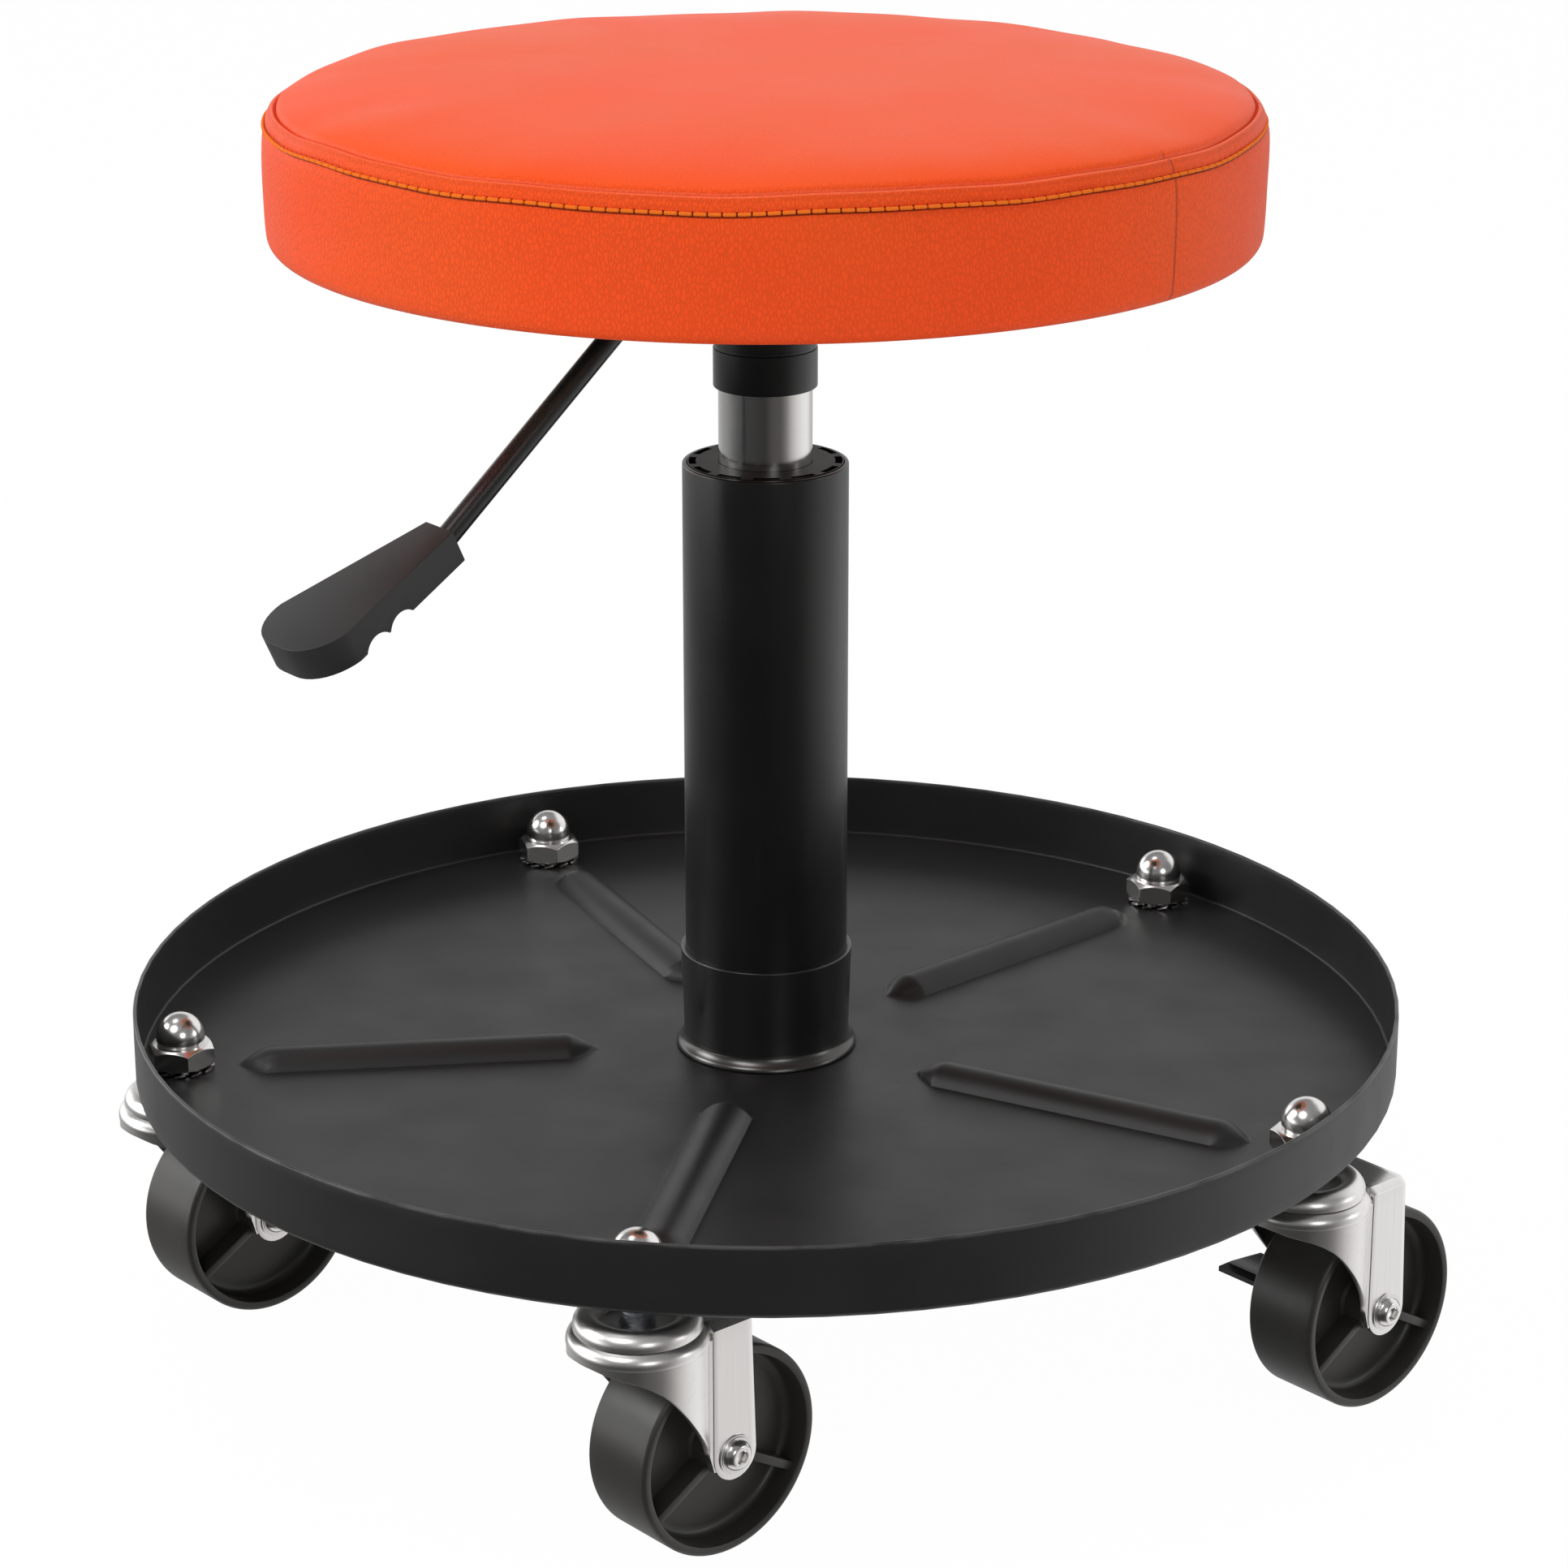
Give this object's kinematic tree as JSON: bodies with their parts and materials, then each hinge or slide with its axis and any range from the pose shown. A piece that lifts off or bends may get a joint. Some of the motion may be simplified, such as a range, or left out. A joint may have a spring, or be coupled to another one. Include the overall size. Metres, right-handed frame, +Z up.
{
  "type": "rolling creeper seat",
  "caption": "Round padded stool on a gas lift column with a height lever, over a round rimmed tool tray that rolls on swivel casters, one with a foot brake.",
  "frame": {"origin": "on the floor, under the axis of the column", "axes": "+Z up along the column; -Y points over the first caster"},
  "size_m": [0.41, 0.398, 0.3885],
  "materials": {
    "orange_vinyl": "grained, satin",
    "plywood": "bare",
    "black_paint": "satin",
    "gloss_paint": "gloss",
    "brake_paint": "satin",
    "black_plastic": "matte",
    "wheel_plastic": "satin",
    "chrome": "polished",
    "bright_nickel": "polished",
    "zinc_steel": "plated",
    "light_alloy": "turned",
    "buffer_rubber": "matte"
  },
  "bodies": {
    "base": {"tray": "black_paint", "hub_socket": "gloss_paint", "column_tube": "black_paint", "guide_bushing": "black_plastic", "column_foot": "zinc_steel", "retaining_clip": "zinc_steel", "column_washer": "zinc_steel", "thrust_balls": "zinc_steel", "cap_nuts": "bright_nickel", "lock_washers": "bright_nickel", "caster_stems": "zinc_steel", "caster_races": "bright_nickel", "caster_balls": "zinc_steel"},
    "lift_rod": {"piston_rod": "chrome", "piston": "light_alloy", "rod_washer": "zinc_steel", "rod_buffer": "buffer_rubber"},
    "seat": {"gas_cylinder": "chrome", "cylinder_gland": "light_alloy", "cylinder_valve": "light_alloy", "seat_collar": "black_paint", "seat_plate": "black_paint", "lever_bracket": "black_paint", "lever_pin": "zinc_steel", "seat_board": "plywood", "seat_screws": "zinc_steel", "board_t_nuts": "zinc_steel", "cushion": "orange_vinyl"},
    "lever": {"lever_rod": "black_paint", "lever_grip": "black_plastic"},
    "release": {"release_pin": "zinc_steel"},
    "caster_1": {"fork_1": "bright_nickel", "axle_screw_1": "bright_nickel", "axle_sleeve_1": "zinc_steel", "axle_nut_1": "bright_nickel"},
    "roller_1": {"wheel_1": "wheel_plastic"},
    "caster_2": {"fork_2": "bright_nickel", "axle_screw_2": "bright_nickel", "axle_sleeve_2": "zinc_steel", "axle_nut_2": "bright_nickel"},
    "roller_2": {"wheel_2": "wheel_plastic"},
    "caster_3": {"fork_3": "bright_nickel", "axle_screw_3": "bright_nickel", "axle_sleeve_3": "zinc_steel", "axle_nut_3": "bright_nickel"},
    "roller_3": {"wheel_3": "wheel_plastic"},
    "caster_4": {"fork_4": "bright_nickel", "axle_screw_4": "bright_nickel", "axle_sleeve_4": "zinc_steel", "axle_nut_4": "bright_nickel"},
    "roller_4": {"wheel_4": "wheel_plastic"},
    "caster_5": {"fork_5": "bright_nickel", "axle_screw_5": "bright_nickel", "axle_sleeve_5": "zinc_steel", "axle_nut_5": "bright_nickel"},
    "roller_5": {"wheel_5": "wheel_plastic"},
    "brake": {"brake_lever": "brake_paint"}
  },
  "joints": [
    {"name": "seat_swivel", "type": "hinge", "parent": "base", "child": "lift_rod", "pos_m": [0, 0, 0.07], "axis": [0, 0, 1], "continuous": true},
    {"name": "seat_lift", "type": "slide", "parent": "lift_rod", "child": "seat", "axis": [0, 0, 1], "range_m": [-0.018, 0.102]},
    {"name": "lever_turn", "type": "hinge", "parent": "seat", "child": "lever", "pos_m": [-0.01574, -0.01811, 0.3345], "axis": [-0.7547, 0.6561, 0], "range_deg": [0, 7], "stiffness_Nm_per_rad": 4, "springref_deg": -5.73},
    {"name": "release_press", "type": "slide", "parent": "seat", "child": "release", "axis": [0, 0, -1], "range_m": [0, 0.0034]},
    {"name": "caster_1_swivel", "type": "hinge", "parent": "base", "child": "caster_1", "pos_m": [0, -0.1815, 0.07], "axis": [0, 0, 1], "continuous": true},
    {"name": "wheel_1_roll", "type": "hinge", "parent": "caster_1", "child": "roller_1", "pos_m": [0.01388, -0.16341, 0.0315], "axis": [0.7934, -0.6088, 0], "continuous": true},
    {"name": "caster_2_swivel", "type": "hinge", "parent": "base", "child": "caster_2", "pos_m": [0.17262, -0.05609, 0.07], "axis": [0, 0, 1], "continuous": true},
    {"name": "wheel_2_roll", "type": "hinge", "parent": "caster_2", "child": "roller_2", "pos_m": [0.1865, -0.038, 0.0315], "axis": [0.7934, -0.6088, 0], "continuous": true},
    {"name": "caster_3_swivel", "type": "hinge", "parent": "base", "child": "caster_3", "pos_m": [0.10668, 0.14684, 0.07], "axis": [0, 0, 1], "continuous": true},
    {"name": "wheel_3_roll", "type": "hinge", "parent": "caster_3", "child": "roller_3", "pos_m": [0.12056, 0.16492, 0.0315], "axis": [0.7934, -0.6088, 0], "continuous": true},
    {"name": "caster_4_swivel", "type": "hinge", "parent": "base", "child": "caster_4", "pos_m": [-0.10668, 0.14684, 0.07], "axis": [0, 0, 1], "continuous": true},
    {"name": "wheel_4_roll", "type": "hinge", "parent": "caster_4", "child": "roller_4", "pos_m": [-0.0928, 0.16492, 0.0315], "axis": [0.7934, -0.6088, 0], "continuous": true},
    {"name": "caster_5_swivel", "type": "hinge", "parent": "base", "child": "caster_5", "pos_m": [-0.17262, -0.05609, 0.07], "axis": [0, 0, 1], "continuous": true},
    {"name": "wheel_5_roll", "type": "hinge", "parent": "caster_5", "child": "roller_5", "pos_m": [-0.15874, -0.038, 0.0315], "axis": [0.7934, -0.6088, 0], "continuous": true},
    {"name": "brake_press", "type": "hinge", "parent": "caster_2", "child": "brake", "pos_m": [0.1865, -0.038, 0.0315], "axis": [0.7934, -0.6088, 0], "range_deg": [0, 20]}
  ],
  "couplings": [
    {"joint": "release_press", "follows": "lever_turn", "m_per_rad": 0.027}
  ]
}
